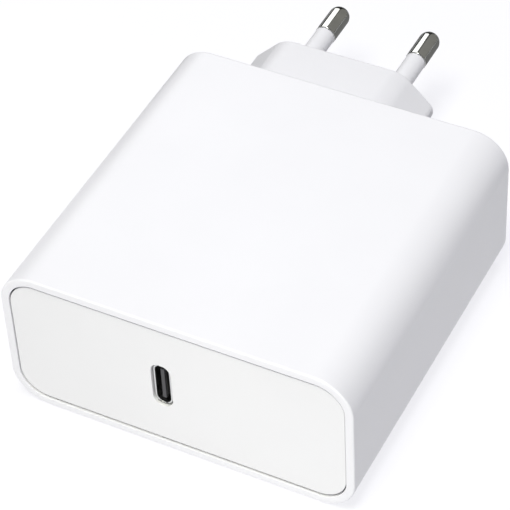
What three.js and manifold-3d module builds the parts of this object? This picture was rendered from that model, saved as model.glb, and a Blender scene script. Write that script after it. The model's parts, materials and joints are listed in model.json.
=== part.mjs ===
// A wall-plug power adapter for laptops: a moulded case with one upright USB-C port in its
// front panel, a fixed two-pin plug on its back, and the power electronics inside.
//
// Millimetres. +Z is up, the port faces -Y and the pins point along +Y. The origin is at the
// middle of the whole outline, pins included, on the surface that the case rests on.

import * as THREE from 'three';
import { mergeVertices } from 'three/addons/utils/BufferGeometryUtils.js';
import Module from 'manifold-3d';

const wasm = await Module();
wasm.setup();

// ---------------------------------------------------------------- driving dimensions

const CASE = { width: 62.8, depth: 62.1, height: 29, cornerRadius: 6.6, edgeRound: 0.6 };
const WALL = 2.5;
const RIM = 1.5; // wall left round the front panel
const GAP = 0.3; // assembly clearance between pieces
const PLUG = { width: 35.3, thickness: 13.7, length: 16.9, flatWidth: 23, tipFlat: 2.1 };
const PLUG_OFFSET = -7.5; // the plug sits to one side of the case's middle
const PIN = { radius: 2, length: 19.2, spacing: 18.3, sleeveLength: 11.3, sleeveRadius: 1.9 };
const PORT = { x: -2.6, width: 8.94, thickness: 3.16, wall: 0.3, depth: 9, clearance: 0.25 };
const PANEL = { recess: 0.3, thickness: 2, skirtDepth: 3, skirtWall: 1.2 };
const BOARD = { halfWidth: 27.2, thickness: 1.6, bottom: 5.4 };

const TOTAL_LENGTH = CASE.depth + PLUG.length + PIN.length;
const FRONT = -TOTAL_LENGTH / 2;
const REAR = FRONT + CASE.depth;
const PLUG_END = REAR + PLUG.length;
const MIDDLE = CASE.height / 2;
const PANEL_FRONT = FRONT + PANEL.recess;
const PANEL_REAR = PANEL_FRONT + PANEL.thickness;
const LEDGE = PANEL_REAR + GAP; // the case's step that the panel rests on
const WALL_INSIDE = REAR - WALL; // inner face of the back wall
const BOARD_TOP = BOARD.bottom + BOARD.thickness;
const SEAT = BOARD_TOP + GAP; // where parts stand on the board

const PIN_SIDES = 24;
const INNER_SIDES = 16; // round parts inside the case
const CASE_DIVISIONS = 5; // half the number of facets on each rounded corner
const PLUG_DIVISIONS = 3;
const PORT_DIVISIONS = 3;

// ---------------------------------------------------------------- solids

function solid(geometry) {
  geometry.deleteAttribute('normal');
  geometry.deleteAttribute('uv');
  const merged = mergeVertices(geometry, 1e-4);
  const mesh = new wasm.Mesh({
    numProp: 3,
    vertProperties: merged.attributes.position.array,
    triVerts: Uint32Array.from(merged.index.array),
  });
  return new wasm.Manifold(mesh);
}

function join(first, ...others) {
  return others.reduce((whole, other) => whole.add(other), first);
}

function cut(first, ...others) {
  return others.reduce((whole, other) => whole.subtract(other), first);
}

function geometryOf(manifold) {
  const { vertProperties, triVerts } = manifold.getMesh();
  const geometry = new THREE.BufferGeometry();
  geometry.setAttribute('position', new THREE.BufferAttribute(vertProperties, 3));
  geometry.setIndex(new THREE.BufferAttribute(triVerts, 1));
  return geometry;
}

// A block between two corners, each given as [x, y, z].
function block(low, high) {
  const size = high.map((value, axis) => value - low[axis]);
  const geometry = new THREE.BoxGeometry(...size);
  geometry.translate(...low.map((value, axis) => value + size[axis] / 2));
  return solid(geometry);
}

// An outline drawn in X and Z, extruded along Y. A bevel rounds its two ends.
function extrudeAlongY(outline, fromY, toY, bevel = 0, divisions = CASE_DIVISIONS) {
  const geometry = new THREE.ExtrudeGeometry(outline, {
    depth: toY - fromY - 2 * bevel,
    bevelEnabled: bevel > 0,
    bevelThickness: bevel,
    bevelSize: bevel,
    bevelOffset: -bevel,
    bevelSegments: 2,
    curveSegments: divisions,
  });
  geometry.rotateX(Math.PI / 2);
  geometry.translate(0, toY - bevel, 0);
  return solid(geometry);
}

// A round bar about an axis given as 'x', 'y' or 'z', turned from a profile of [radius, place].
// The profile runs from the axis back to the axis, with its place along the bar rising.
function turned(profile, axis, centre, sides = INNER_SIDES) {
  const points = profile.map(([radius, place]) => new THREE.Vector2(radius, place));
  const geometry = new THREE.LatheGeometry(points, sides);
  if (axis === 'x') geometry.rotateZ(-Math.PI / 2);
  if (axis === 'z') geometry.rotateX(Math.PI / 2);
  geometry.translate(...centre);
  return solid(geometry);
}

function bar(radius, length, axis, centre, sides = INNER_SIDES) {
  const half = length / 2;
  return turned([[0, -half], [radius, -half], [radius, half], [0, half]], axis, centre, sides);
}

// A ring closes its profile on itself: outer and inner radius, and height along the axis.
function ring(outer, inner, height, axis, centre, sides = INNER_SIDES) {
  const half = height / 2;
  const profile = [[inner, -half], [outer, -half], [outer, half], [inner, half], [inner, -half]];
  return turned(profile, axis, centre, sides);
}

// ---------------------------------------------------------------- outlines

function roundedRectangle(width, height, radius, centreX = 0, centreZ = MIDDLE) {
  const shape = new THREE.Shape();
  const x = width / 2 - radius;
  const z = height / 2 - radius;
  shape.absarc(centreX + x, centreZ + z, radius, 0, Math.PI / 2);
  shape.absarc(centreX - x, centreZ + z, radius, Math.PI / 2, Math.PI);
  shape.absarc(centreX - x, centreZ - z, radius, Math.PI, 1.5 * Math.PI);
  shape.absarc(centreX + x, centreZ - z, radius, 1.5 * Math.PI, 2 * Math.PI);
  return shape;
}

// The case's own outline, moved inwards.
function caseOutline(inset) {
  const radius = CASE.cornerRadius - inset;
  return roundedRectangle(CASE.width - 2 * inset, CASE.height - 2 * inset, radius);
}

// The port's upright slot, moved outwards.
function portOutline(outset) {
  const width = PORT.thickness + 2 * outset;
  const height = PORT.width + 2 * outset;
  return roundedRectangle(width, height, width / 2 - 0.01, PORT.x);
}

const slotBlock = (outset, fromY, toY) =>
  extrudeAlongY(portOutline(outset), fromY, toY, 0, PORT_DIVISIONS);

// A polygon whose corners are [x, z, radius], each rounded by an arc of its radius.
function roundedPolygon(corners) {
  const shape = new THREE.Shape();
  corners.forEach(([x, z, radius], index) => {
    const corner = new THREE.Vector2(x, z);
    const before = new THREE.Vector2(...corners.at(index - 1)).sub(corner).normalize();
    const after = new THREE.Vector2(...corners[(index + 1) % corners.length]).sub(corner).normalize();
    const halfAngle = Math.acos(before.dot(after)) / 2;
    const inward = before.clone().add(after).normalize();
    const centre = corner.clone().addScaledVector(inward, radius / Math.sin(halfAngle));
    const start = corner.clone().addScaledVector(before, radius / Math.tan(halfAngle)).sub(centre);
    const end = corner.clone().addScaledVector(after, radius / Math.tan(halfAngle)).sub(centre);
    shape.absarc(centre.x, centre.y, radius, start.angle(), end.angle());
  });
  return shape;
}

// The plug's six-sided outline with blunt tips, moved outwards by an amount.
function plugOutline(outset) {
  const tipX = PLUG.width / 2 + outset;
  const tipZ = PLUG.tipFlat / 2 + outset * Math.tan(Math.PI / 8);
  const flatX = PLUG.flatWidth / 2 + outset * Math.tan(Math.PI / 8);
  const flatZ = PLUG.thickness / 2 + outset;
  const tipRadius = Math.max(1.5 + outset, 0.4);
  const flatRadius = Math.max(5 + outset, 0.4);
  const corners = [
    [tipX, -tipZ, tipRadius],
    [tipX, tipZ, tipRadius],
    [flatX, flatZ, flatRadius],
    [-flatX, flatZ, flatRadius],
    [-tipX, tipZ, tipRadius],
    [-tipX, -tipZ, tipRadius],
    [-flatX, -flatZ, flatRadius],
    [flatX, -flatZ, flatRadius],
  ];
  return roundedPolygon(corners.map(([x, z, radius]) => [x + PLUG_OFFSET, z + MIDDLE, radius]));
}

const plugBlock = (outset, fromY, toY, bevel = 0) =>
  extrudeAlongY(plugOutline(outset), fromY, toY, bevel, PLUG_DIVISIONS);

// A U-shaped sheet that follows the inside of the case over its top and down both sides.
function overTopOutline(inset, thickness, bottom) {
  const outer = CASE.width / 2 - inset;
  const top = CASE.height - inset;
  const radius = CASE.cornerRadius - inset;
  const inner = radius - thickness;
  const x = outer - radius;
  const z = top - radius;
  const shape = new THREE.Shape();
  shape.moveTo(outer, bottom);
  shape.absarc(x, z, radius, 0, Math.PI / 2);
  shape.absarc(-x, z, radius, Math.PI / 2, Math.PI);
  shape.lineTo(-outer, bottom);
  shape.lineTo(thickness - outer, bottom);
  shape.absarc(-x, z, inner, Math.PI, Math.PI / 2, true);
  shape.absarc(x, z, inner, Math.PI / 2, 0, true);
  shape.lineTo(outer - thickness, bottom);
  return shape;
}

// ---------------------------------------------------------------- case

// Rails on the inner side walls hold the board's two long edges.
const RAIL = { reach: 2.3, height: 0.9, front: -42, rear: 4 };

function housingShell() {
  const outside = extrudeAlongY(caseOutline(0), FRONT, REAR, CASE.edgeRound);
  const mouth = extrudeAlongY(caseOutline(RIM), FRONT - 1, LEDGE);
  const cavity = extrudeAlongY(caseOutline(WALL), LEDGE - 1, WALL_INSIDE);
  const plugHole = plugBlock(GAP, WALL_INSIDE - 1, REAR + 1);
  const wallX = CASE.width / 2 - WALL;
  const rails = [-1, 1].flatMap((side) =>
    [BOARD.bottom - GAP - RAIL.height, SEAT].map((bottom) => {
      const ends = [side * (wallX - RAIL.reach), side * (wallX + WALL / 2)];
      const low = [Math.min(...ends), RAIL.front, bottom];
      return block(low, [Math.max(...ends), RAIL.rear, bottom + RAIL.height]);
    }),
  );
  return join(cut(outside, mouth, cavity, plugHole), ...rails);
}

function frontPanel() {
  const plate = extrudeAlongY(caseOutline(RIM + GAP), PANEL_FRONT, PANEL_REAR);
  const skirtRear = PANEL_REAR + PANEL.skirtDepth;
  const skirt = cut(
    extrudeAlongY(caseOutline(WALL + GAP), PANEL_REAR - 0.5, skirtRear),
    extrudeAlongY(caseOutline(WALL + GAP + PANEL.skirtWall), PANEL_REAR, skirtRear + 1),
  );
  const collar = slotBlock(PORT.clearance + 1, PANEL_REAR - 0.5, PANEL_REAR + 1.2);
  const slot = slotBlock(PORT.clearance, PANEL_FRONT - 1, PANEL_REAR + 3);
  return cut(join(plate, skirt, collar), slot);
}

// ---------------------------------------------------------------- plug

const PLUG_WALL = 2;
const PLUG_END_WALL = 6; // the thick end that grips the pins
const PLUG_END_ROUND = 0.5;
const FLANGE = { reach: 1.5, thickness: 2.5 };
const SLEEVE_ROOT = 4; // how far the sleeve reaches into the plug block
const SLEEVE_INNER_RADIUS = 1.55;
const SNUG = 0.1; // moulded-on fit between a pin and its sleeve

const pinX = (side) => PLUG_OFFSET + (side * PIN.spacing) / 2;

function plugBody() {
  const flangeRear = WALL_INSIDE - GAP;
  const flangeFront = flangeRear - FLANGE.thickness;
  const nose = plugBlock(0, flangeFront, PLUG_END, PLUG_END_ROUND);
  const flange = plugBlock(FLANGE.reach, flangeFront, flangeRear);
  const hollow = plugBlock(-PLUG_WALL, flangeFront - 1, PLUG_END - PLUG_END_WALL);
  const bores = [-1, 1].map((side) => {
    const centre = [pinX(side), PLUG_END, MIDDLE];
    return bar(PIN.sleeveRadius + GAP, 2 * PLUG_END_WALL + 2, 'y', centre, PIN_SIDES);
  });
  return cut(join(nose, flange), hollow, ...bores);
}

// Contact end with a round tip, a neck inside the sleeve, and a thin tail inside the case.
function pin(side) {
  const neck = SLEEVE_INNER_RADIUS - SNUG;
  const tail = 1.2;
  const tip = PLUG_END + PIN.length;
  const profile = [
    [0, WALL_INSIDE - 4],
    [tail, WALL_INSIDE - 4],
    [tail, PLUG_END - PLUG_END_WALL],
    [neck, PLUG_END - PLUG_END_WALL],
    [neck, PLUG_END + PIN.sleeveLength + SNUG],
    [PIN.radius, PLUG_END + PIN.sleeveLength + SNUG],
  ];
  const rings = 6;
  for (let step = 0; step <= rings; step += 1) {
    const angle = (step / rings) * (Math.PI / 2);
    const radius = step === rings ? 0 : PIN.radius * Math.cos(angle);
    profile.push([radius, tip - PIN.radius + PIN.radius * Math.sin(angle)]);
  }
  return turned(profile, 'y', [pinX(side), 0, MIDDLE], PIN_SIDES);
}

function pinSleeve(side) {
  const from = PLUG_END - SLEEVE_ROOT;
  const to = PLUG_END + PIN.sleeveLength;
  const centre = [pinX(side), (from + to) / 2, MIDDLE];
  return ring(PIN.sleeveRadius, SLEEVE_INNER_RADIUS, to - from, 'y', centre, PIN_SIDES);
}

// A bent strip: an upright blade against the pin's tail and a foot on the board.
function contactStrip(side) {
  const width = 3;
  const thickness = 0.5;
  const bladeRear = WALL_INSIDE - 4 - GAP;
  const left = pinX(side) - width / 2;
  const blade = block(
    [left, bladeRear - thickness, SEAT],
    [left + width, bladeRear, MIDDLE + 2.5],
  );
  const foot = block([left, bladeRear - 3, SEAT], [left + width, bladeRear, SEAT + thickness]);
  return join(blade, foot);
}

// ---------------------------------------------------------------- port

const PORT_MOUTH = PANEL_FRONT + 0.35; // the metal shell stands a little inside the panel
const PORT_REAR = PORT_MOUTH + PORT.depth;
const TONGUE = { width: 6.7, thickness: 0.7, recess: 0.45 };
const PORT_BOARD_X = PORT.x + PORT.thickness / 2 + GAP;
const PORT_BOARD = { thickness: 1, front: -45, rear: -29, top: 24.3 };

function usbShell() {
  const outside = slotBlock(0, PORT_MOUTH, PORT_REAR);
  const inside = slotBlock(-PORT.wall, PORT_MOUTH - 1, PORT_REAR + 1);
  return cut(outside, inside);
}

function usbInsulator() {
  const plugDepth = 6.2; // how far a cable's plug goes in
  const base = slotBlock(-PORT.wall - SNUG, PORT_MOUTH + plugDepth, PORT_REAR);
  const shape = roundedRectangle(TONGUE.thickness, TONGUE.width, TONGUE.thickness * 0.3, PORT.x);
  const tongue = extrudeAlongY(shape, PORT_MOUTH + TONGUE.recess, PORT_REAR - 1, 0, 1);
  return join(base, tongue);
}

function portBoard() {
  const low = [PORT_BOARD_X, PORT_BOARD.front, SEAT];
  return block(low, [PORT_BOARD_X + PORT_BOARD.thickness, PORT_BOARD.rear, PORT_BOARD.top]);
}

// ---------------------------------------------------------------- parts on the boards

// A capacitor can with a rolled groove near its sealed end, which is at the profile's low end.
function canProfile(radius, length) {
  const groove = radius * 0.88;
  return [
    [0, 0],
    [radius * 0.85, 0],
    [radius, 0.5],
    [radius, 1.6],
    [groove, 2.1],
    [radius, 2.6],
    [radius, length - 0.8],
    [radius - 0.8, length],
    [0, length],
  ];
}

function standingCan(radius, length, x, y) {
  return turned(canProfile(radius, length), 'z', [x, y, SEAT]);
}

// The large can lies along Y, with its two leads bent down to the board at its rear end.
function bulkCapacitor() {
  const radius = 8;
  const length = 20;
  const centre = [18.4, 1.2, SEAT + GAP + radius];
  const can = turned(canProfile(radius, length), 'y', [0, 0, 0]).rotate([0, 0, 180]).translate(centre);
  const leadThickness = 0.8;
  const leads = [-1, 1].map((side) => {
    const x = centre[0] + side * 3.75 - leadThickness / 2;
    const out = block(
      [x, centre[1] - 1, centre[2] - 2],
      [x + leadThickness, centre[1] + 1.6, centre[2] - 2 + leadThickness],
    );
    const down = block(
      [x, centre[1] + 0.8, SEAT],
      [x + leadThickness, centre[1] + 1.6, centre[2] - 2 + leadThickness],
    );
    return join(out, down);
  });
  return join(can, ...leads);
}

// A disc part stands on two leads, its flat sides facing along Y.
function discPart(radius, thickness, x, y) {
  const lift = 1.6;
  const centreZ = SEAT + lift + radius;
  const disc = turned(
    [
      [0, -thickness / 2],
      [radius - 0.8, -thickness / 2],
      [radius, 0.8 - thickness / 2],
      [radius, thickness / 2 - 0.8],
      [radius - 0.8, thickness / 2],
      [0, thickness / 2],
    ],
    'y',
    [x, y, centreZ],
  );
  const leads = [-1, 1].map((side) => {
    const leadX = x + side * radius * 0.5;
    return block([leadX - 0.35, y - 0.35, SEAT], [leadX + 0.35, y + 0.35, centreZ]);
  });
  return join(disc, ...leads);
}

function fuse() {
  const length = 11;
  const centre = [-21, 0.6, SEAT + 3.2];
  const tube = bar(1.9, length, 'x', centre);
  const caps = [-1, 1].map((side) => {
    const capX = centre[0] + side * (length / 2 - 1.4);
    return bar(2.1, 2.8, 'x', [capX, centre[1], centre[2]]);
  });
  const legs = [-1, 1].map((side) => {
    const legX = centre[0] + side * (length / 2 - 1.4);
    const low = [legX - 0.4, centre[1] - 0.4, SEAT];
    return block(low, [legX + 0.4, centre[1] + 0.4, centre[2]]);
  });
  return join(tube, ...caps, ...legs);
}

// A moulded box part with pins under it, such as a film capacitor.
function moulded(low, high, legInset = 1.2) {
  const lift = 0.6;
  const box = block([low[0], low[1], low[2] + lift], high);
  const middleX = (low[0] + high[0]) / 2;
  const legs = [low[1] + legInset, high[1] - legInset].map((y) =>
    block([middleX - 0.4, y - 0.4, low[2]], [middleX + 0.4, y + 0.4, low[2] + 2 * lift]),
  );
  return join(box, ...legs);
}

// A chip lies flat, with one row of legs on each long side joined to its body.
function chip(x, y, size, legs) {
  const [width, depth, height] = size;
  const body = block(
    [x - width / 2, y - depth / 2, SEAT + 0.15],
    [x + width / 2, y + depth / 2, SEAT + height],
  );
  const pitch = (depth - 1) / (legs - 1);
  const rows = [-1, 1].flatMap((side) =>
    Array.from({ length: legs }, (_, index) => {
      const legY = y - depth / 2 + 0.5 + index * pitch;
      const ends = [side * (width / 2 - 0.3), side * (width / 2 + 0.8)];
      return block(
        [x + Math.min(...ends), legY - 0.22, SEAT],
        [x + Math.max(...ends), legY + 0.22, SEAT + 0.3],
      );
    }),
  );
  return join(body, ...rows);
}

// ---------------------------------------------------------------- common-mode choke

const CHOKE = { x: -18.3, y: -12.8, outer: 7, inner: 4.4, height: 6, wire: 0.9 };
const CHOKE_Z = SEAT + CHOKE.wire + GAP + 0.4 + CHOKE.height / 2;

function chokeCore() {
  return ring(CHOKE.outer, CHOKE.inner, CHOKE.height, 'z', [CHOKE.x, CHOKE.y, CHOKE_Z]);
}

// One winding wraps a little under half of the ring. Its turns show as ribs on the outside.
function chokeWinding(side) {
  const centre = [CHOKE.x, CHOKE.y, CHOKE_Z];
  const clear = 0.15;
  const wrap = cut(
    ring(CHOKE.outer + CHOKE.wire, CHOKE.inner - CHOKE.wire, CHOKE.height + 2 * CHOKE.wire, 'z', centre),
    ring(CHOKE.outer + clear, CHOKE.inner - clear, CHOKE.height + 2 * clear, 'z', centre),
  );
  const keepFrom = side < 0 ? -20 : 1.3;
  const keep = block(
    [CHOKE.x + keepFrom, CHOKE.y - 20, 0],
    [CHOKE.x + keepFrom + 18.7, CHOKE.y + 20, CASE.height],
  );
  return wrap.intersect(keep);
}

// ---------------------------------------------------------------- drum chokes

function drumCore(radius, height, x, y) {
  const post = radius * 0.55;
  const flange = 1;
  const profile = [
    [0, 0],
    [radius, 0],
    [radius, flange],
    [post, flange],
    [post, height - flange],
    [radius, height - flange],
    [radius, height],
    [0, height],
  ];
  return turned(profile, 'z', [x, y, SEAT]);
}

function drumWinding(radius, height, x, y) {
  const clear = 0.15;
  const flange = 1;
  const windingHeight = height - 2 * flange - 2 * clear;
  const centre = [x, y, SEAT + height / 2];
  return ring(radius - 0.4, radius * 0.55 + clear, windingHeight, 'z', centre);
}

// ---------------------------------------------------------------- transformer

const CORE = { x: 13.9, y: -32, width: 23.4, depth: 11, half: 7.5, leg: 3.6, centreLeg: 7, back: 2.8 };
const CORE_BOTTOM = SEAT + 0.8;
const CORE_SPLIT = CORE_BOTTOM + CORE.half + GAP / 2;
const WINDOW_BOTTOM = CORE_BOTTOM + CORE.back;
const WINDOW_TOP = 2 * CORE_SPLIT - WINDOW_BOTTOM;

// One half of an E core. The upper half is the lower one mirrored in the split.
function coreHalf(upper) {
  const front = CORE.y - CORE.depth / 2;
  const rear = CORE.y + CORE.depth / 2;
  const mirror = (z) => (upper ? 2 * CORE_SPLIT - z : z);
  const part = (x0, x1, z0, z1) => {
    const z = [mirror(z0), mirror(z1)].sort((a, b) => a - b);
    return block([CORE.x + x0, front, z[0]], [CORE.x + x1, rear, z[1]]);
  };
  const half = CORE.width / 2;
  const legTop = CORE_SPLIT - GAP / 2;
  return join(
    part(-half, half, CORE_BOTTOM, WINDOW_BOTTOM),
    part(-half, CORE.leg - half, CORE_BOTTOM, legTop),
    part(half - CORE.leg, half, CORE_BOTTOM, legTop),
    part(-CORE.centreLeg / 2, CORE.centreLeg / 2, CORE_BOTTOM, legTop),
  );
}

const BOBBIN_WALL = 0.7;
const BOBBIN_HOLE_X = CORE.centreLeg / 2 + 0.2;
const BOBBIN_HOLE_Y = CORE.depth / 2 + 0.2;

// A frame round the core's centre leg between two half-sizes in X and two heights.
function aroundLeg(outX, outY, inX, inY, fromZ, toZ) {
  const outer = block([CORE.x - outX, CORE.y - outY, fromZ], [CORE.x + outX, CORE.y + outY, toZ]);
  const inner = block(
    [CORE.x - inX, CORE.y - inY, fromZ - 1],
    [CORE.x + inX, CORE.y + inY, toZ + 1],
  );
  return cut(outer, inner);
}

function bobbin() {
  const low = WINDOW_BOTTOM + 0.2;
  const high = WINDOW_TOP - 0.2;
  const tubeX = BOBBIN_HOLE_X + BOBBIN_WALL;
  const tubeY = BOBBIN_HOLE_Y + BOBBIN_WALL;
  const tube = aroundLeg(tubeX, tubeY, BOBBIN_HOLE_X, BOBBIN_HOLE_Y, low, high);
  const flange = (from) => aroundLeg(8, 9.8, BOBBIN_HOLE_X, BOBBIN_HOLE_Y, from, from + BOBBIN_WALL);
  const feet = [-1, 1].map((side) => {
    const y = CORE.y + side * 8.3;
    return block([CORE.x - 8, y - 1.5, SEAT], [CORE.x + 8, y + 1.5, low + BOBBIN_WALL]);
  });
  return join(tube, flange(low), flange(high - BOBBIN_WALL), ...feet);
}

function transformerWinding() {
  const clear = 0.15;
  const low = WINDOW_BOTTOM + 0.2 + BOBBIN_WALL + clear;
  const high = WINDOW_TOP - 0.2 - BOBBIN_WALL - clear;
  const inX = BOBBIN_HOLE_X + BOBBIN_WALL + clear;
  const inY = BOBBIN_HOLE_Y + BOBBIN_WALL + clear;
  return aroundLeg(7.7, 9.5, inX, inY, low, high);
}

// Yellow tape wound once round both core halves.
function transformerTape() {
  const halfWidth = 4;
  const inner = CORE.width / 2 + 0.15;
  const outer = inner + 0.3;
  const low = CORE_BOTTOM - 0.15;
  const high = 2 * CORE_SPLIT - low;
  const y = [CORE.y - halfWidth, CORE.y + halfWidth];
  return cut(
    block([CORE.x - outer, y[0], low - 0.3], [CORE.x + outer, y[1], high + 0.3]),
    block([CORE.x - inner, y[0] - 1, low], [CORE.x + inner, y[1] + 1, high]),
  );
}

// ---------------------------------------------------------------- films and heat spreaders

const SHEET_FRONT = -42.5;
const SHEET_REAR = 5.4;
const SHEET_BOTTOM = SEAT + RAIL.height + GAP;
const FLOOR = WALL + GAP;
const SPREADER = 0.5;
const FILM = 0.25;
const FILM_TOP_INSET = WALL + 2 * GAP + SPREADER;
const FILM_CEILING = CASE.height - FILM_TOP_INSET - FILM;

const overTop = (inset, thickness) =>
  extrudeAlongY(overTopOutline(inset, thickness, SHEET_BOTTOM), SHEET_FRONT, SHEET_REAR, 0, 3);

const floorSheet = (bottom, thickness, halfWidth) =>
  block([-halfWidth, SHEET_FRONT, bottom], [halfWidth, SHEET_REAR - 1, bottom + thickness]);

// ---------------------------------------------------------------- the assembly

const adapter = new THREE.Group();

function add(name, manifold, color, roughness, metalness = 0) {
  const material = new THREE.MeshStandardMaterial({ color, roughness, metalness });
  const mesh = new THREE.Mesh(geometryOf(manifold), material);
  mesh.name = name;
  adapter.add(mesh);
}

const WHITE = 0xf4f5f7;
const NICKEL = 0xc9cbc8;
const COPPER = 0xb4653a;
const FERRITE = 0x2b2c2f;
const BLACK = 0x151617;
const BOARD_GREEN = 0x1f5a3a;
const ALUMINIUM = 0xb9bcc0;

add('housing_shell', housingShell(), WHITE, 0.4);
add('front_panel', frontPanel(), 0xeeeff1, 0.45);
add('plug_body', plugBody(), 0xeeeef2, 0.4);
for (const [line, side] of [['live', 1], ['neutral', -1]]) {
  add(`pin_${line}`, pin(side), NICKEL, 0.2, 1);
  add(`pin_sleeve_${line}`, pinSleeve(side), WHITE, 0.35);
  add(`contact_strip_${line}`, contactStrip(side), 0xb98a4a, 0.35, 1);
}

add('usb_c_shell', usbShell(), NICKEL, 0.25, 1);
add('usb_c_insulator', usbInsulator(), BLACK, 0.5);
add('port_board', portBoard(), BOARD_GREEN, 0.5);
const chipFace = PORT_BOARD_X + PORT_BOARD.thickness + 0.1;
add('pd_controller', block([chipFace, -36, 12], [chipFace + 0.85, -31, 17]), BLACK, 0.6);
const switchFace = PORT_BOARD_X - 0.1;
add('vbus_switch', block([switchFace - 0.9, -37, 16], [switchFace, -33.7, 19.3]), BLACK, 0.6);

const boardLow = [-BOARD.halfWidth, -43, BOARD.bottom];
add('main_board', block(boardLow, [BOARD.halfWidth, WALL_INSIDE - 5.5, BOARD_TOP]), BOARD_GREEN, 0.5);
add('fuse', fuse(), 0xd9d2c0, 0.4);
add('varistor', discPart(4.5, 3.6, -9.5, 0.8), 0x2f6fae, 0.5);
add('thermistor', discPart(3.7, 3.4, -1, 0.8), 0x2b2f2d, 0.6);
add('x_capacitor', moulded([-9.4, -18.4, SEAT], [-3.4, -5.4, SEAT + 11]), 0xe0c23a, 0.45);
add('choke_core', chokeCore(), 0x3d7f4f, 0.5);
add('choke_winding_left', chokeWinding(-1), COPPER, 0.35, 1);
add('choke_winding_right', chokeWinding(1), COPPER, 0.35, 1);
add('bridge_rectifier', moulded([-2.4, -18, SEAT], [1.2, -6, SEAT + 13]), BLACK, 0.55);
add('filter_inductor_core', drumCore(3.8, 9, 6.6, 0), FERRITE, 0.6);
add('filter_inductor_winding', drumWinding(3.8, 9, 6.6, 0), COPPER, 0.35, 1);
add('bulk_capacitor', bulkCapacitor(), 0x22252b, 0.4);
add('auxiliary_capacitor', standingCan(4, 14, 5.8, -10), 0x22252b, 0.4);
add('gan_switch', block([2.5, -19.9, 9], [8.5, -19, 15]), BLACK, 0.6);
add('primary_heatsink', block([2.6, -21.4, SEAT], [26.2, -20.2, 24]), ALUMINIUM, 0.35, 1);
add('primary_controller', chip(-23, -28.5, [4, 5, 1.6], 4), BLACK, 0.6);

add('transformer_core_lower', coreHalf(false), FERRITE, 0.6);
add('transformer_core_upper', coreHalf(true), FERRITE, 0.6);
add('transformer_bobbin', bobbin(), BLACK, 0.5);
add('transformer_winding', transformerWinding(), 0xd8b64a, 0.5);
add('transformer_tape', transformerTape(), 0xe3c64e, 0.45);

add('sync_rectifier', chip(-13.5, -30, [5, 6, 1.1], 4), BLACK, 0.6);
add('secondary_heatsink', block([-26.2, -34.6, SEAT], [-4.6, -34, 19]), ALUMINIUM, 0.35, 1);
add('output_capacitor_left', standingCan(4, 12, -22, -39.4), 0xaeb3bb, 0.35, 1);
add('output_capacitor_right', standingCan(4, 12, -13, -39.4), 0xaeb3bb, 0.35, 1);
add('output_choke_core', drumCore(3.4, 6, -5.4, -29), FERRITE, 0.6);
add('output_choke_winding', drumWinding(3.4, 6, -5.4, -29), COPPER, 0.35, 1);
add('optocoupler', chip(-22.6, -22.9, [5, 2.6, 2], 2), BLACK, 0.6);
add('y_capacitor', discPart(3.6, 3, -14, -23.6), 0x3a79b7, 0.5);
const barrier = block([-26.2, -21.2, SEAT], [1.8, -20.95, FILM_CEILING - GAP]);
add('isolation_barrier', barrier, 0xe9dfb4, 0.4);

add('heat_spreader_top', overTop(WALL + GAP, SPREADER), ALUMINIUM, 0.35, 1);
add('insulation_film_top', overTop(FILM_TOP_INSET, FILM), 0xe6e2d2, 0.4);
add('heat_spreader_bottom', floorSheet(FLOOR, SPREADER, 24.5), ALUMINIUM, 0.35, 1);
add('insulation_film_bottom', floorSheet(FLOOR + SPREADER + GAP, FILM, 25.5), 0xe6e2d2, 0.4);
const padLow = [CORE.x - 10, CORE.y - 5, FILM_CEILING - 0.9];
add('thermal_pad_transformer', block(padLow, [CORE.x + 10, CORE.y + 5, FILM_CEILING - 0.15]), 0x8fa3b8, 0.8);

export default adapter;
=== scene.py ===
"""A white wall-plug power adapter for laptops, lying on a pale table.

The case, its front panel, the plug, the pins, the port and the rounder parts of the power electronics are
modelled here, in the places of the frame's solids. The boards, chips, sheets and the transformer keep their
solids. Places and sizes are in metres and come from the frame.
"""

import json
import math

import bmesh
import bpy
from mathutils import Matrix, Quaternion, Vector


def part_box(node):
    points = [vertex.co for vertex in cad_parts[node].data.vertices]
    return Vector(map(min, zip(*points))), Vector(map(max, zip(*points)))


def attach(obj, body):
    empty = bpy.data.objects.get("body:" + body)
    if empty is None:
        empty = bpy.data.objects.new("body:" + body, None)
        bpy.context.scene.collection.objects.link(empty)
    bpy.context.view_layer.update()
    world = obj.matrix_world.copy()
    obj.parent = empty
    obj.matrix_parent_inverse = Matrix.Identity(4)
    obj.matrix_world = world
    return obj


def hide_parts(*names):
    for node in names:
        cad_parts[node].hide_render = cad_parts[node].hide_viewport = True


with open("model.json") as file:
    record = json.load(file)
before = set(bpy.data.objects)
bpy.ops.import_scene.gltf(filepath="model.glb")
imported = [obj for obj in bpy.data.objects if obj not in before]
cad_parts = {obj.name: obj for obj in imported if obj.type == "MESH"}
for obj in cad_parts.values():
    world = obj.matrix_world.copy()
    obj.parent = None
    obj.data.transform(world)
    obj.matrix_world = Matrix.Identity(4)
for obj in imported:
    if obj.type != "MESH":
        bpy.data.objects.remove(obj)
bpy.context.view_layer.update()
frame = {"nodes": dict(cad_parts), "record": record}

MM = 0.001
BODY = "root"
ACROSS, FORWARD, UP = 0, 1, 2  # the axes: the port looks along -Y and the pins point along +Y

# ------------------------------------------------------------------ sizes

CASE_LOW, CASE_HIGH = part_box("housing_shell")
PANEL_LOW, PANEL_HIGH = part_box("front_panel")
PLUG_LOW, PLUG_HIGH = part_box("plug_body")
PORT_LOW, PORT_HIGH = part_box("usb_c_shell")

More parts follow.
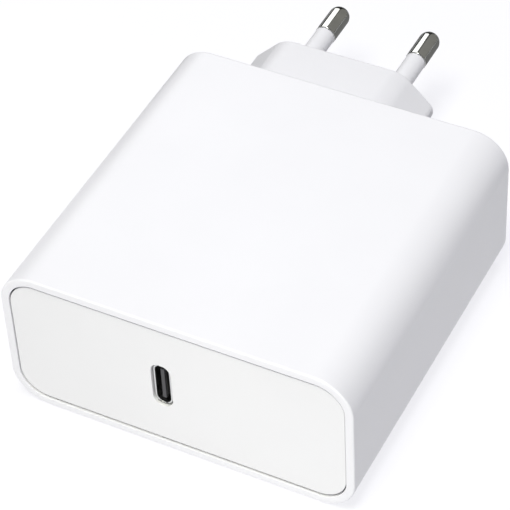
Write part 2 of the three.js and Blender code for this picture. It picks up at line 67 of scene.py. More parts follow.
CASE_WIDTH = CASE_HIGH.x - CASE_LOW.x
CASE_HEIGHT = CASE_HIGH.z - CASE_LOW.z
MIDDLE = CASE_HEIGHT / 2
CASE_RADIUS = 6.6 * MM
RIM = 1.5 * MM
WALL = 2.5 * MM
CASE_FRONT_ROUND = 0.3 * MM
CASE_REAR_ROUND = 0.35 * MM
MOUTH_ROUND = 0.12 * MM
ROOM_BEHIND_PANEL = 0.3 * MM

PANEL_FRONT = PANEL_LOW.y - 0.07 * MM
PANEL_THICKNESS = 2 * MM
PANEL_SKIRT = 1.2 * MM
PANEL_ROUND = 0.12 * MM
PANEL_SEAM = 0.13 * MM  # at the sides
PANEL_CLIP_SEAM = 0.36 * MM  # at top and bottom, where the panel is clipped
PORT_HOLE_OUTSET = 0.22 * MM
PORT_HOLE_ROUND = 0.1 * MM

PLUG_WIDTH = 35.3 * MM
PLUG_THICKNESS = 13.7 * MM
PLUG_X = (PLUG_LOW.x + PLUG_HIGH.x) / 2
PLUG_SLANT = 5.95 * MM
PLUG_TIP_RADIUS = 1.5 * MM
PLUG_FLAT_RADIUS = 5 * MM
PLUG_END_ROUND = 0.3 * MM
PLUG_SEAM = 0.1 * MM
PLUG_WALL = 2 * MM
PLUG_END_WALL = 6 * MM
FLANGE_REACH = 1.5 * MM
FLANGE_THICKNESS = 2.5 * MM

PIN_NECK_RADIUS = 1.45 * MM
PIN_TAIL_RADIUS = 1.2 * MM
PIN_TIP_FLATTENED = 0.985  # the tip's round stops just short of the axis
PIN_FIT = 0.02 * MM  # between a sleeve and its bore
SLEEVE_WALL = 0.4 * MM
SLEEVE_ROUND = 0.12 * MM

PORT_X = (PORT_LOW.x + PORT_HIGH.x) / 2
PORT_WALL = 0.3 * MM
PORT_LIP_ROUND = 0.07 * MM
PORT_BASE_DEPTH = 6.2 * MM  # how far a cable's plug goes in
TONGUE_THICKNESS = 0.7 * MM
TONGUE_WIDTH = 6.7 * MM
TONGUE_FRONT = PORT_LOW.y + 0.2 * MM

CLEAR_CUT = 1 * MM  # how far a cutting shape reaches past what it cuts
OVERLAP = 1 * MM  # how far two shapes that are joined reach into each other
CORNER_STEPS = 24
PIN_SIDES = 64
CAN_SIDES = 72
LEAD_SIDES = 16
WIRE_SIDES = 10
WIRE_SMOOTHING = 60  # degrees, over the angle between a wire's faces


# ------------------------------------------------------------------ modelling by hand, in code


def deselect():
    bpy.ops.object.select_all(action="DESELECT")


def activate(piece):
    deselect()
    piece.select_set(True)
    bpy.context.view_layer.objects.active = piece


def settle(piece):
    """Moves a piece's place, turn and size into its mesh."""
    activate(piece)
    bpy.ops.object.transform_apply(location=True, rotation=True, scale=True)
    return piece


def block(name, low, high):
    """A box between two corners, the start of most pieces."""
    low, high = Vector(low), Vector(high)
    deselect()
    bpy.ops.mesh.primitive_cube_add(size=1, location=(low + high) / 2)
    piece = bpy.context.object
    piece.name = name
    piece.data.name = name
    piece.scale = high - low
    return settle(piece)


QUARTER_TURN = math.pi / 2
AXIS_TURNS = ((0, QUARTER_TURN, 0), (QUARTER_TURN, 0, 0), (0, 0, 0))


def round_bar(name, axis, radius, low, high, centre, sides, ends="NGON"):
    """A bar along one axis, the start of every pin, sleeve, can, lead and bore."""
    place = Vector(centre)
    place[axis] = (low + high) / 2
    deselect()
    bpy.ops.mesh.primitive_cylinder_add(
        vertices=sides,
        radius=radius,
        depth=high - low,
        end_fill_type=ends,
        location=place,
        rotation=AXIS_TURNS[axis],
    )
    piece = bpy.context.object
    piece.name = name
    piece.data.name = name
    return settle(piece)


def wire_loop(name, radius, wire, centre, steps, turn=(0, 0, 0)):
    """One closed turn of round wire."""
    deselect()
    bpy.ops.mesh.primitive_torus_add(
        major_segments=steps,
        minor_segments=WIRE_SIDES,
        major_radius=radius,
        minor_radius=wire / 2,
        location=centre,
        rotation=turn,
    )
    piece = bpy.context.object
    piece.name = name
    piece.data.name = name
    return settle(piece)


def copy_of(piece, place):
    """A copy with its own mesh, moved or turned by a matrix."""
    copy = piece.copy()
    copy.data = piece.data.copy()
    bpy.context.scene.collection.objects.link(copy)
    copy.matrix_world = place
    return settle(copy)


def gather(name, pieces):
    """Puts several bodies into one piece."""
    deselect()
    for piece in pieces:
        piece.select_set(True)
    bpy.context.view_layer.objects.active = pieces[0]
    bpy.ops.object.join()
    whole = bpy.context.object
    whole.name = name
    whole.data.name = name
    return whole


def edit(piece, kind, test):
    """Opens a piece for editing with the vertices, edges or faces that pass a test selected."""
    activate(piece)
    bpy.ops.object.mode_set(mode="EDIT")
    bpy.ops.mesh.select_mode(type=kind)
    bpy.ops.mesh.select_all(action="DESELECT")
    mesh = bmesh.from_edit_mesh(piece.data)
    for item in {"VERT": mesh.verts, "EDGE": mesh.edges, "FACE": mesh.faces}[kind]:
        if test(item):
            item.select_set(True)
    mesh.select_flush_mode()
    bmesh.update_edit_mesh(piece.data)


def close(piece):
    bpy.ops.object.mode_set(mode="OBJECT")
    return piece


def bevel(piece, test, width, segments):
    """Rounds the edges that pass a test."""
    edit(piece, "EDGE", test)
    bpy.ops.mesh.bevel(offset=width, segments=segments, affect="EDGES", clamp_overlap=False)
    return close(piece)


def step(piece, test, steps, along=(0, 1, 0)):
    """Steps a face in or out: each step insets it, then extrudes it along an axis."""
    edit(piece, "FACE", test)
    for inset, travel in steps:
        if inset:
            bpy.ops.mesh.inset(thickness=inset)
        move = Vector(along) * travel
        bpy.ops.mesh.extrude_region_move(TRANSFORM_OT_translate={"value": move})
    return close(piece)


def shift(piece, test, move):
    """Moves the vertices that pass a test."""
    edit(piece, "VERT", test)
    bpy.ops.transform.translate(value=move)
    return close(piece)


def bend(piece, test, centre):
    """Bends a piece down from a face, a quarter turn round a line across the object."""
    edit(piece, "FACE", test)
    bpy.ops.mesh.spin(steps=8, angle=QUARTER_TURN, center=centre, axis=(1, 0, 0))
    return close(piece)


def remove_faces(piece, test):
    edit(piece, "FACE", test)
    bpy.ops.mesh.delete(type="FACE")
    return close(piece)


def apply_modifier(piece, kind, **settings):
    activate(piece)
    modifier = piece.modifiers.new(kind.title(), kind)
    for name, value in settings.items():
        setattr(modifier, name, value)
    bpy.ops.object.modifier_apply(modifier=modifier.name)
    return piece


def combine(piece, other, operation):
    """Cuts or joins a piece with another, which is used up."""
    apply_modifier(piece, "BOOLEAN", operation=operation, object=other, solver="EXACT")
    bpy.data.objects.remove(other)


def cut(piece, tool):
    combine(piece, tool, "DIFFERENCE")


def join(piece, other):
    combine(piece, other, "UNION")


def thicken(piece, thickness):
    """Gives an open skin a wall on its inner side."""
    return apply_modifier(piece, "SOLIDIFY", thickness=thickness, offset=-1, use_even_offset=True)


def smooth(piece, angle=35):
    """Shades a piece smooth, with its flats kept flat by weighting normals by area."""
    activate(piece)
    bpy.ops.object.shade_smooth_by_angle(angle=math.radians(angle))
    return apply_modifier(piece, "WEIGHTED_NORMAL", keep_sharp=True, weight=50)


replaced_nodes = set()


def keep(piece, material, slot, *replaced):
    """Finishes a piece: its material, its body and the solids that it stands for; its slot is not used."""
    piece.data.materials.clear()
    piece.data.materials.append(material)
    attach(piece, BODY)
    if replaced:
        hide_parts(*replaced)
        replaced_nodes.update(replaced)


# ------------------------------------------------------------------ tests for faces, edges and points

NEAR = 0.02 * MM


def faces_along(axis, sign):
    """Faces that look along an axis."""
    return lambda face: face.normal[axis] * sign > 0.999


def either_end(axis):
    """Faces that look either way along an axis."""
    return lambda face: abs(face.normal[axis]) > 0.999


def runs_along_y(edge):
    a, b = (vertex.co for vertex in edge.verts)
    return abs(a.x - b.x) < NEAR and abs(a.z - b.z) < NEAR


def lies_at(axis, place):
    """Edges with both ends at one place along an axis."""
    return lambda edge: all(abs(vertex.co[axis] - place) < NEAR for vertex in edge.verts)


def case_depth(point):
    """How far a point lies inside the case's outline, seen from the front."""
    x = abs(point.x) - (CASE_WIDTH / 2 - CASE_RADIUS)
    z = abs(point.z - MIDDLE) - (CASE_HEIGHT / 2 - CASE_RADIUS)
    outside = math.hypot(max(x, 0), max(z, 0)) + min(max(x, z), 0)
    return CASE_RADIUS - outside


def on_outline(place_y, depth):
    """Edges at one place along Y that follow the case's outline at some depth."""
    at_place = lies_at(FORWARD, place_y)
    return lambda edge: at_place(edge) and all(
        abs(case_depth(vertex.co) - depth) < 0.1 * MM for vertex in edge.verts
    )


def every_edge(edge):
    return True


def is_ring_edge(edge):
    """Edges where two faces meet at a clear angle."""
    return len(edge.link_faces) == 2 and edge.calc_face_angle() > math.radians(40)


def both(first, second):
    return lambda item: first(item) and second(item)


# ------------------------------------------------------------------ material nodes


def linear(hex_colour):
    """An sRGB hex colour as a linear one with full alpha."""
    channels = [int(hex_colour[i : i + 2], 16) / 255 for i in (1, 3, 5)]
    return tuple(
        c / 12.92 if c <= 0.04045 else ((c + 0.055) / 1.055) ** 2.4 for c in channels
    ) + (1,)


def add_node(material, kind, settings=None, values=None, links=None):
    """Adds a node with its settings, its sockets' values and the outputs linked to its sockets."""
    tree = material.node_tree
    node = tree.nodes.new(kind)
    for name, value in (settings or {}).items():
        setattr(node, name, value)
    for socket, value in (values or {}).items():
        node.inputs[socket].default_value = value
    for socket, source in (links or {}).items():
        tree.links.new(source, node.inputs[socket])
    return node


def new_material(name, roughness, metallic=0, ior=None, coat=0, coat_roughness=0.1):
    """A material with an empty surface shader, and the Object coordinates that its patterns read."""
    material = bpy.data.materials.new(name)
    material.use_nodes = True
    material.node_tree.nodes.clear()
    values = {
        "Metallic": metallic,
        "Roughness": roughness,
        "Coat Weight": coat,
        "Coat Roughness": coat_roughness,
    }
    if ior:
        values["IOR"] = ior
    shader = add_node(material, "ShaderNodeBsdfPrincipled", values=values)
    add_node(
        material,
        "ShaderNodeOutputMaterial",
        links={"Surface": shader.outputs["BSDF"]},
    )
    place = add_node(material, "ShaderNodeTexCoord").outputs["Object"]
    return material, shader, place


def noise(material, place, size, detail=2, stretch=(1, 1, 1)):
    """Noise whose blotches are about one size across, in metres."""
    scaled = add_node(
        material,
        "ShaderNodeMapping",
        values={"Scale": tuple(s / size for s in stretch)},
        links={"Vector": place},
    )
    return add_node(
        material,
        "ShaderNodeTexNoise",
        values={"Scale": 1, "Detail": detail},
        links={"Vector": scaled.outputs["Vector"]},
    ).outputs["Fac"]


def colour_between(material, shader, factor, first, second, low=0.3, high=0.7):
    """Colours a surface between two hex colours as a factor runs from low to high."""
    ramp = add_node(material, "ShaderNodeValToRGB", links={"Fac": factor})
    ramp.color_ramp.elements[0].position = low
    ramp.color_ramp.elements[0].color = linear(first)
    ramp.color_ramp.elements[1].position = high
    ramp.color_ramp.elements[1].color = linear(second)
    material.node_tree.links.new(ramp.outputs["Color"], shader.inputs["Base Color"])


def vary_roughness(material, shader, factor, low, high):
    """Lets the roughness follow a pattern between two values."""
    spread = add_node(
        material,
        "ShaderNodeMapRange",
        values={"From Min": 0.3, "From Max": 0.7, "To Min": low, "To Max": high},
        links={"Value": factor},
    )
    material.node_tree.links.new(spread.outputs["Result"], shader.inputs["Roughness"])


def relief(material, shader, height, depth):
    """Bumps the surface by a height pattern, depth metres from lowest to highest."""
    bump = add_node(
        material,
        "ShaderNodeBump",
        values={"Strength": 1, "Distance": depth},
        links={"Height": height},
    )
    material.node_tree.links.new(bump.outputs["Normal"], shader.inputs["Normal"])


# ------------------------------------------------------------------ materials


def moulded_plastic(name, light, shade, roughness, grain=0.12 * MM, depth=0.0012 * MM, ior=1.58):
    """Injection-moulded plastic: a soft even sheen over the faint grain of a spark-eroded mould.

    The grain is 0.03 mm on the real tool, drawn at 0.12 mm so that it shows. The colour drifts a little
    over about 20 mm, as pigment does along the flow of the melt.
    """
    material, shader, place = new_material(name, roughness, ior=ior)
    colour_between(material, shader, noise(material, place, 20 * MM), shade, light)
    fine = noise(material, place, grain, detail=3)
    vary_roughness(material, shader, fine, roughness - 0.04, roughness + 0.04)
    relief(material, shader, fine, depth)
    return material


def drawn_metal(name, light, shade, roughness, stretch, line=0.05 * MM, depth=0.0006 * MM):
    """Plated or rolled metal: a clear reflection with hairlines along the way it was drawn."""
    material, shader, place = new_material(name, roughness, metallic=1)
    lines = noise(material, place, line, detail=2, stretch=stretch)
    colour_between(material, shader, noise(material, place, 4 * MM), shade, light)
    vary_roughness(material, shader, lines, roughness * 0.7, roughness * 1.3)
    relief(material, shader, lines, depth)
    return material


def grained(name, light, shade, roughness, grain, depth, ior=1.5, coat=0.0):
    """A pressed, dipped or fired body: matt, with grains of one size that catch the light."""
    material, shader, place = new_material(name, roughness, ior=ior, coat=coat)
    grains = noise(material, place, grain, detail=4)
    colour_between(material, shader, grains, shade, light)
    vary_roughness(material, shader, grains, roughness - 0.06, roughness + 0.06)
    relief(material, shader, grains, depth)
    return material


def circuit_board(name):
    """Solder mask over glass epoxy: a satin green skin, paler where copper tracks run under it."""
    material, shader, place = new_material(name, 0.4, ior=1.5, coat=0.3)
    tracks = add_node(
        material,
        "ShaderNodeTexBrick",
        values={
            "Color1": linear("#1d6b45"),
            "Color2": linear("#174f34"),
            "Mortar": linear("#0f3d27"),
            "Scale": 1 / (9 * MM),
            "Mortar Size": 0.03,
            "Brick Width": 0.5,
            "Row Height": 0.25,
        },
        links={"Vector": place},
    )
    material.node_tree.links.new(tracks.outputs["Color"], shader.inputs["Base Color"])
    weave = noise(material, place, 0.4 * MM, detail=3)
    relief(material, shader, weave, 0.01 * MM)
    return material


def make_materials():
    """Every finish, most of them under the name of the record's slot that they stand for."""
    return {
        "case_white": moulded_plastic("moulded_white_polycarbonate", "#e3e3e6", "#e1e1e4", 0.38),
        # the plug is the case's plastic, made a little darker as painted shade for the dimmer light on its
        # top
        "plug_white_painted_shade": moulded_plastic("moulded_white_polycarbonate_painted_shade", "#dedee1", "#dcdcdf", 0.4),
        "panel_white": moulded_plastic("moulded_white_panel_polycarbonate", "#e1e1e2", "#dfdfe0", 0.42),
        "sleeve_white": moulded_plastic("moulded_white_nylon_sleeve", "#e1e1e4", "#dedee1", 0.5),
        "nickel": drawn_metal("polished_nickel_on_brass", "#c9cac6", "#b9bab6", 0.07, (1, 0.04, 1)),
        "contact_bronze": drawn_metal("rolled_spring_bronze", "#c79a5c", "#b3854a", 0.3, (1, 1, 0.1)),
        "port_steel": drawn_metal("nickel_plated_drawn_steel", "#d6d7d6", "#c9cac9", 0.2, (1, 0.05, 1)),
        "port_black": moulded_plastic(
            "moulded_black_liquid_crystal_polymer", "#1a1a1c", "#141416", 0.45, ior=1.6
        ),
        "tongue_grey": moulded_plastic("moulded_grey_liquid_crystal_polymer", "#37373a", "#313133", 0.5),
        "contact_plate": drawn_metal("plated_contact", "#8f8f8c", "#80807d", 0.35, (1, 0.1, 1)),
        "board_green": circuit_board("solder_masked_glass_epoxy"),
        "chip_black": grained("moulded_black_epoxy", "#242528", "#1b1c1f", 0.55, 0.08 * MM, 0.004 * MM),
        "fuse_ceramic": grained("fired_white_ceramic", "#e4ddcc", "#d6cdb8", 0.45, 0.5 * MM, 0.01 * MM),
        "disc_blue": grained(
            "dipped_blue_epoxy", "#3b79bd", "#2f65a6", 0.4, 1.4 * MM, 0.05 * MM, coat=0.3
        ),
        "disc_dark": grained("dipped_dark_phenolic", "#35393a", "#282c2d", 0.5, 1.2 * MM, 0.05 * MM),
        "film_yellow": moulded_plastic("moulded_yellow_polypropylene", "#e3c548", "#d9b93a", 0.45),
        "core_green": grained(
            "epoxy_coated_green_ferrite", "#3f8a57", "#327548", 0.45, 1.0 * MM, 0.03 * MM, coat=0.2
        ),
        "ferrite": grained("fired_grey_ferrite", "#3a3b3f", "#2a2b2f", 0.6, 0.15 * MM, 0.01 * MM),
        "copper": drawn_metal("enamelled_copper_winding_wire", "#d98a55", "#b8693a", 0.28, (1, 1, 1)),
        "can_sleeve": moulded_plastic("shrunk_black_sleeve", "#2c2f36", "#24272d", 0.35, ior=1.54),
        "can_aluminium": drawn_metal("drawn_aluminium_can", "#d5d8dd", "#c3c6cb", 0.32, (1, 1, 0.1)),
        "aluminium": drawn_metal("pressed_aluminium_sheet", "#cfd1d4", "#bfc1c4", 0.35, (1, 0.08, 1)),
        "tape_yellow": moulded_plastic("wound_yellow_polyester_tape", "#ecc94a", "#dfb936", 0.3, ior=1.6),
        "film_amber": moulded_plastic("cut_cream_polyester_film", "#ede6cb", "#e2d9b8", 0.3, ior=1.6),
        "pad_grey": grained("cut_grey_silicone_pad", "#8b9db0", "#7c8fa3", 0.75, 0.2 * MM, 0.02 * MM),
    }


# ------------------------------------------------------------------ the case


def case_blank(name, low_y, high_y, inset, top_inset):
    """A block with the case's rounded outline, drawn in at the sides and at top and bottom."""
    low = (CASE_LOW.x + inset, low_y, CASE_LOW.z + top_inset)
    high = (CASE_HIGH.x - inset, high_y, CASE_HIGH.z - top_inset)
    piece = block(name, low, high)
    return bevel(piece, runs_along_y, CASE_RADIUS - inset, CORNER_STEPS)


def plug_blank(name, low_y, high_y, outset):
    """A block with the plug's six-sided outline and blunt tips, moved outwards by an outset."""
    half = Vector((PLUG_WIDTH / 2 + outset, 0, PLUG_THICKNESS / 2 + outset))
    low = (PLUG_X - half.x, low_y, MIDDLE - half.z)
    high = (PLUG_X + half.x, high_y, MIDDLE + half.z)
    piece = block(name, low, high)
    bevel(piece, runs_along_y, PLUG_SLANT + outset * (2 - math.sqrt(2)), 1)
    set_back = math.tan(math.pi / 8)  # from a corner of 135 degrees to where its round starts, per radius

    def at_tip(edge):
        return runs_along_y(edge) and abs(edge.verts[0].co.x - PLUG_X) > half.x - NEAR

    def at_flat(edge):
        return runs_along_y(edge) and abs(edge.verts[0].co.z - MIDDLE) > half.z - NEAR

    bevel(piece, at_tip, (PLUG_TIP_RADIUS + outset) * set_back, 8)
    bevel(piece, at_flat, (PLUG_FLAT_RADIUS + outset) * set_back, 12)
    return piece


def make_case(materials):
    """The one-piece case: rounded block, mouth for the panel, cavity, and the plug's opening."""
    mouth_depth = PANEL_LOW.y + PANEL_THICKNESS + ROOM_BEHIND_PANEL - CASE_LOW.y
    cavity_depth = CASE_HIGH.y - WALL - CASE_LOW.y - mouth_depth
    piece = case_blank("case", CASE_LOW.y, CASE_HIGH.y, 0, 0)
    step(piece, faces_along(FORWARD, -1), [(RIM, mouth_depth), (WALL - RIM, cavity_depth)])
    cut(piece, plug_blank("opening", CASE_HIGH.y - 2 * WALL, CASE_HIGH.y + WALL, PLUG_SEAM))
    bevel(piece, on_outline(CASE_LOW.y, 0), CASE_FRONT_ROUND, 4)
    bevel(piece, on_outline(CASE_LOW.y, RIM), MOUTH_ROUND, 3)
    bevel(piece, on_outline(CASE_HIGH.y, 0), CASE_REAR_ROUND, 4)
    keep(smooth(piece), materials["case_white"], "case_white", "housing_shell")


def slot_blank(name, low_y, high_y, outset):
    """A block with the port's upright slot outline, moved outwards by an outset."""
    low = (PORT_LOW.x - outset, low_y, PORT_LOW.z - outset)
    high = (PORT_HIGH.x + outset, high_y, PORT_HIGH.z + outset)
    piece = block(name, low, high)
    almost_half_round = ((PORT_HIGH.x - PORT_LOW.x) / 2 + outset) * 0.995
    return bevel(piece, runs_along_y, almost_half_round, 14)


def make_panel(materials):
    """The front panel: a plate with rounded edges, a skirt behind it and the port's slot."""
    rear = PANEL_FRONT + PANEL_THICKNESS
    piece = case_blank("panel", PANEL_FRONT, rear, RIM + PANEL_SEAM, RIM + PANEL_CLIP_SEAM)
    bevel(piece, lies_at(FORWARD, PANEL_FRONT), PANEL_ROUND, 3)
    skirt = PANEL_HIGH.y - rear
    step(piece, faces_along(FORWARD, 1), [(WALL - RIM, skirt), (PANEL_SKIRT, -skirt)])
    cut(piece, slot_blank("slot", PANEL_FRONT - CLEAR_CUT, rear + CLEAR_CUT, PORT_HOLE_OUTSET))
    beyond_hole = PORT_HOLE_OUTSET + 0.1 * MM

    def at_hole(edge):
        return all(
            PORT_LOW.x - beyond_hole < vertex.co.x < PORT_HIGH.x + beyond_hole
            and PORT_LOW.z - beyond_hole < vertex.co.z < PORT_HIGH.z + beyond_hole
            for vertex in edge.verts
        )

    at_front_of_hole = both(lies_at(FORWARD, PANEL_FRONT), at_hole)
    bevel(piece, both(at_front_of_hole, is_ring_edge), PORT_HOLE_ROUND, 3)
    keep(smooth(piece), materials["panel_white"], "panel_white", "front_panel")


# ------------------------------------------------------------------ the plug


def make_plug(materials):
    """The plug block: a six-sided nose with a flange inside the case, hollow behind, bored for the pins."""
    root = PLUG_LOW.y
    piece = plug_blank("plug_block", root + OVERLAP, PLUG_HIGH.y, 0)
    bevel(piece, both(lies_at(FORWARD, PLUG_HIGH.y), is_ring_edge), PLUG_END_ROUND, 4)
    join(piece, plug_blank("flange", root, root + FLANGE_THICKNESS, FLANGE_REACH))
    cut(piece, plug_blank("hollow", root - CLEAR_CUT, PLUG_HIGH.y - PLUG_END_WALL, -PLUG_WALL))
    for line in ("live", "neutral"):
        low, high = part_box(f"pin_sleeve_{line}")
        radius = (high.x - low.x) / 2 + PIN_FIT
        bore_low = PLUG_HIGH.y - PLUG_END_WALL - 2 * CLEAR_CUT
        bore_high = PLUG_HIGH.y + CLEAR_CUT
        cut(piece, round_bar("bore", FORWARD, radius, bore_low, bore_high, (low + high) / 2, PIN_SIDES))
    # the plug's darker white is painted shade over the case's plastic, which is its slot
    keep(smooth(piece), materials["plug_white_painted_shade"], "case_white", "plug_body")


def make_pin(line, materials):
    """A turned pin: round-tipped contact end, a neck inside the sleeve, a thinner tail inside."""
    low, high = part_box(f"pin_{line}")
    sleeve_low, sleeve_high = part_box(f"pin_sleeve_{line}")
    radius = (high.x - low.x) / 2
    contact_start = sleeve_high.y + 2 * PIN_FIT
    tail_start = sleeve_low.y - 2 * MM
    name = f"{line}_pin"
    piece = round_bar(name, FORWARD, radius, contact_start, high.y, (low + high) / 2, PIN_SIDES)
    bevel(piece, lies_at(FORWARD, high.y), radius * PIN_TIP_FLATTENED, 16)
    bevel(piece, lies_at(FORWARD, contact_start), 0.08 * MM, 3)
    neck = (radius - PIN_NECK_RADIUS, tail_start - contact_start)
    tail = (PIN_NECK_RADIUS - PIN_TAIL_RADIUS, low.y - tail_start)
    step(piece, faces_along(FORWARD, -1), [neck, tail])
    keep(smooth(piece), materials["nickel"], "nickel", f"pin_{line}")


def make_sleeve(line, materials):
    """The insulating sleeve: a thin tube whose outer end is finely rounded."""
    low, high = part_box(f"pin_sleeve_{line}")
    centre = (low + high) / 2
    radius = (high.x - low.x) / 2
    name = f"{line}_pin_sleeve"
    piece = round_bar(name, FORWARD, radius, low.y, high.y, centre, PIN_SIDES, ends="NOTHING")
    thicken(piece, SLEEVE_WALL)

    def on_outside(edge):
        return all(
            abs(math.hypot(vertex.co.x - centre.x, vertex.co.z - centre.z) - radius) < NEAR
            for vertex in edge.verts
        )

    bevel(piece, both(lies_at(FORWARD, high.y), on_outside), SLEEVE_ROUND, 3)
    keep(smooth(piece), materials["sleeve_white"], "sleeve_white", f"pin_sleeve_{line}")


# ------------------------------------------------------------------ the port


def make_port_shell(materials):
    """The receptacle's drawn shell: an upright tube of slot outline with a rounded lip."""
    piece = slot_blank("port_shell", PORT_LOW.y, PORT_HIGH.y, 0)
    remove_faces(piece, either_end(FORWARD))
    thicken(piece, PORT_WALL)
    bevel(piece, both(lies_at(FORWARD, PORT_LOW.y), is_ring_edge), PORT_LIP_ROUND, 3)
    keep(smooth(piece), materials["port_steel"], "port_steel", "usb_c_shell")


def make_port_insulator(materials):
    """The insulator: a base that closes the shell, and the tongue that stands out of it."""
    base_front = PORT_LOW.y + PORT_BASE_DEPTH
    base_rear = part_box("usb_c_insulator")[1].y
    piece = slot_blank("port_insulator", base_front, base_rear, -PORT_WALL - 0.03 * MM)
    half = Vector((TONGUE_THICKNESS / 2, 0, TONGUE_WIDTH / 2))
    low = Vector((PORT_X, TONGUE_FRONT, MIDDLE)) - half
    high = Vector((PORT_X, base_front + OVERLAP, MIDDLE)) + half
    tongue = block("tongue", low, high)
    bevel(tongue, runs_along_y, 0.12 * MM, 4)
    bevel(tongue, lies_at(FORWARD, TONGUE_FRONT), 0.1 * MM, 3)
    join(piece, tongue)
    keep(smooth(piece), materials["tongue_grey"], "port_black", "usb_c_insulator")


def make_contacts(side, materials):
    """One row of twelve contacts, half a millimetre apart, on one face of the tongue."""
    count, pitch, width, length = 12, 0.5 * MM, 0.25 * MM, 3.6 * MM
    sunk, proud = 0.05 * MM, 0.03 * MM
    face = PORT_X + side * TONGUE_THICKNESS / 2
    inner, outer = face - side * sunk, face + side * proud
    front = TONGUE_FRONT + 0.45 * MM
    lowest = MIDDLE - (count - 1) / 2 * pitch
    low = (min(inner, outer), front, lowest - width / 2)
    high = (max(inner, outer), front + length, lowest + width / 2)
    first = bevel(block("contact", low, high), every_edge, 0.012 * MM, 2)
    others = [copy_of(first, Matrix.Translation((0, 0, index * pitch))) for index in range(1, count)]
    row = gather("port_contacts_right" if side > 0 else "port_contacts_left", [first, *others])
    keep(smooth(row), materials["contact_plate"], "port_steel")


# ------------------------------------------------------------------ wound parts inside

CHOKE_INNER_RADIUS = 4.4 * MM
CHOKE_WIRE = 0.75 * MM
CHOKE_CORNER = 0.7 * MM  # the radius of a turn's corners, along the middle of the wire
CHOKE_TURNS = 11
CHOKE_TURN_ANGLE = 12  # degrees from one turn to the next
DRUM_WIRE = 0.5 * MM
DRUM_FLANGE = 1 * MM
LEAD = 0.7 * MM
LEAD_SPACE = 0.3 * MM  # between the board and a lead's end


def make_choke_core(materials):
    """The ring choke's core: a ferrite ring in a coat of resin that rounds its edges."""
    low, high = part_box("choke_core")
    centre = (low + high) / 2
    piece = round_bar("choke_core_ring", UP, (high.x - low.x) / 2, low.z, high.z, centre, CAN_SIDES)
    hole_low, hole_high = low.z - CLEAR_CUT, high.z + CLEAR_CUT
    cut(piece, round_bar("hole", UP, CHOKE_INNER_RADIUS, hole_low, hole_high, centre, CAN_SIDES))
    bevel(piece, is_ring_edge, 0.5 * MM, 4)
    keep(smooth(piece), materials["core_green"], "core_green", "choke_core")


def make_choke_turn(centre, half_width, half_height):
    """One turn of wire round the core: a small ring whose quarters are moved apart to its corners."""
    turn = wire_loop("choke_turn", CHOKE_CORNER, CHOKE_WIRE, centre, 24, turn=AXIS_TURNS[FORWARD])
    for axis, reach in ((ACROSS, half_width - CHOKE_CORNER), (UP, half_height - CHOKE_CORNER)):
        for way in (-1, 1):
            move = [0, 0, 0]
            move[axis] = way * reach

            def beyond(vertex):
                return (vertex.co[axis] - centre[axis]) * way > NEAR

            shift(turn, beyond, move)
    return turn


def make_choke_winding(side, materials):
    """One winding of the ring choke: turns of thick wire laid round the core, and its two leads."""
    node = "choke_winding_right" if side > 0 else "choke_winding_left"
    core_low, core_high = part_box("choke_core")
    low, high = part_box(node)
    foot_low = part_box("main_board")[1].z + LEAD_SPACE
    centre = (core_low + core_high) / 2
    core_outer_radius = (core_high.x - core_low.x) / 2
    ring_radius = (core_outer_radius + CHOKE_INNER_RADIUS) / 2
    half_width = (core_outer_radius - CHOKE_INNER_RADIUS) / 2 + 0.15 * MM + CHOKE_WIRE / 2
    half_height = (high.z - low.z) / 2 - CHOKE_WIRE / 2
    foot_high = centre.z - half_height + CHOKE_CORNER
    turn = make_choke_turn(centre + Vector((ring_radius, 0, 0)), half_width, half_height)
    bodies = []
    for index in range(CHOKE_TURNS):
        angle = (index - (CHOKE_TURNS - 1) / 2) * CHOKE_TURN_ANGLE + (0 if side > 0 else 180)
        spin = Matrix.Rotation(math.radians(angle), 4, "Z")
        bodies.append(copy_of(turn, Matrix.Translation(centre) @ spin @ Matrix.Translation(-centre)))
        if index in (0, CHOKE_TURNS - 1):
            foot = centre + spin @ Vector((ring_radius + half_width, 0, 0))
            bodies.append(round_bar("lead", UP, CHOKE_WIRE / 2, foot_low, foot_high, foot, LEAD_SIDES))
    bpy.data.objects.remove(turn)
    whole = gather(f"{node}_turns", bodies)
    keep(smooth(whole, WIRE_SMOOTHING), materials["copper"], "copper", node)


def make_drum_core(node, materials):
    """A drum choke's core: a post between two round flanges."""
    low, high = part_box(node)
    centre = (low + high) / 2
    radius = (high.x - low.x) / 2
    post_low, post_high = low.z + DRUM_FLANGE / 2, high.z - DRUM_FLANGE / 2
    piece = round_bar(f"{node}_drum", UP, radius * 0.55, post_low, post_high, centre, CAN_SIDES)
    for start in (low.z, high.z - DRUM_FLANGE):
        flange = round_bar("flange", UP, radius, start, start + DRUM_FLANGE, centre, CAN_SIDES)
        bevel(flange, is_ring_edge, 0.2 * MM, 3)
        join(piece, flange)
    keep(smooth(piece), materials["ferrite"], "ferrite", node)


def make_drum_winding(node, materials):
    """A drum choke's winding: turns of wire stacked side by side between the flanges."""
    low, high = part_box(node)
    centre = (low + high) / 2
    count = round((high.z - low.z) / DRUM_WIRE)
    wire = (high.z - low.z) / count
    radius = (high.x - low.x) / 2 - wire / 2
    first = wire_loop("drum_turn", radius, wire, (centre.x, centre.y, low.z + wire / 2), 48)
    others = [copy_of(first, Matrix.Translation((0, 0, index * wire))) for index in range(1, count)]
    whole = gather(f"{node}_turns", [first, *others])
    keep(smooth(whole, WIRE_SMOOTHING), materials["copper"], "copper", node)


# ------------------------------------------------------------------ canned, dipped and moulded parts inside

